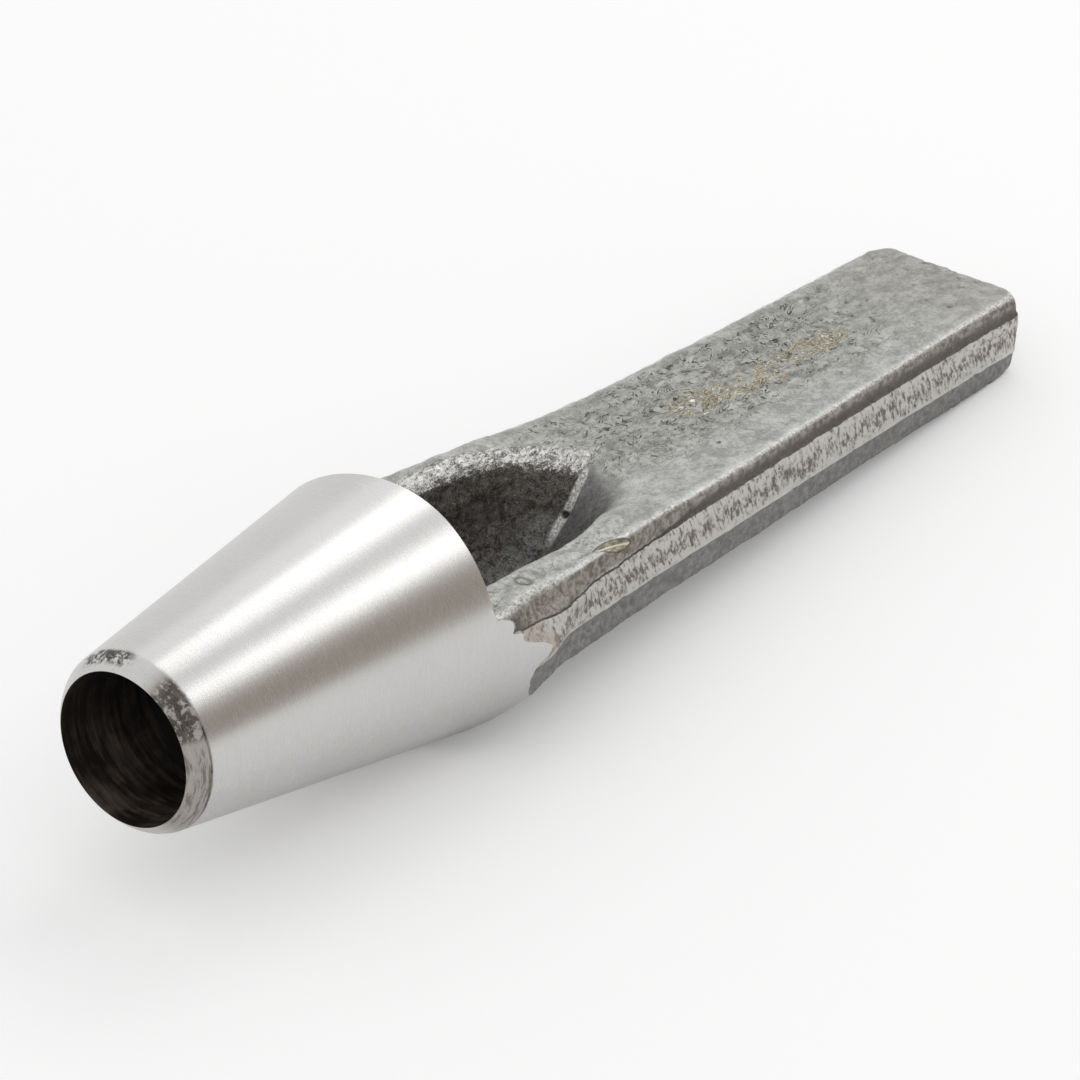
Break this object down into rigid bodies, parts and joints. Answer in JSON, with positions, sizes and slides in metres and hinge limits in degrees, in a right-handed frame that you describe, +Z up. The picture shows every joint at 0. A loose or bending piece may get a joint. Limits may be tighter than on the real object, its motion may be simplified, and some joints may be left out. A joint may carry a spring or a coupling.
{
  "type": "grommet hole punch",
  "caption": "One-piece forged hand punch: hollow tapered cutting head, open chip pocket behind it and flat shank with a striking face, struck to cut round holes.",
  "frame": {"origin": "middle of the footprint, on the surface that the punch lies on", "axes": "+X from the cutting edge to the striking face, +Y across the shank, +Z up; pocket side up"},
  "size_m": [0.14, 0.0314, 0.0292],
  "materials": {
    "turned_steel": "bright lathe-turned steel with fine rings round the axis, ground lip with dark scale marks",
    "forged_steel": "dark grey forged steel with pitted mill scale, worn bright edges and a rough trimmed flash band"
  },
  "bodies": {
    "root": {"cutting_head": "turned_steel", "forged_shank": "forged_steel"}
  },
  "joints": []
}
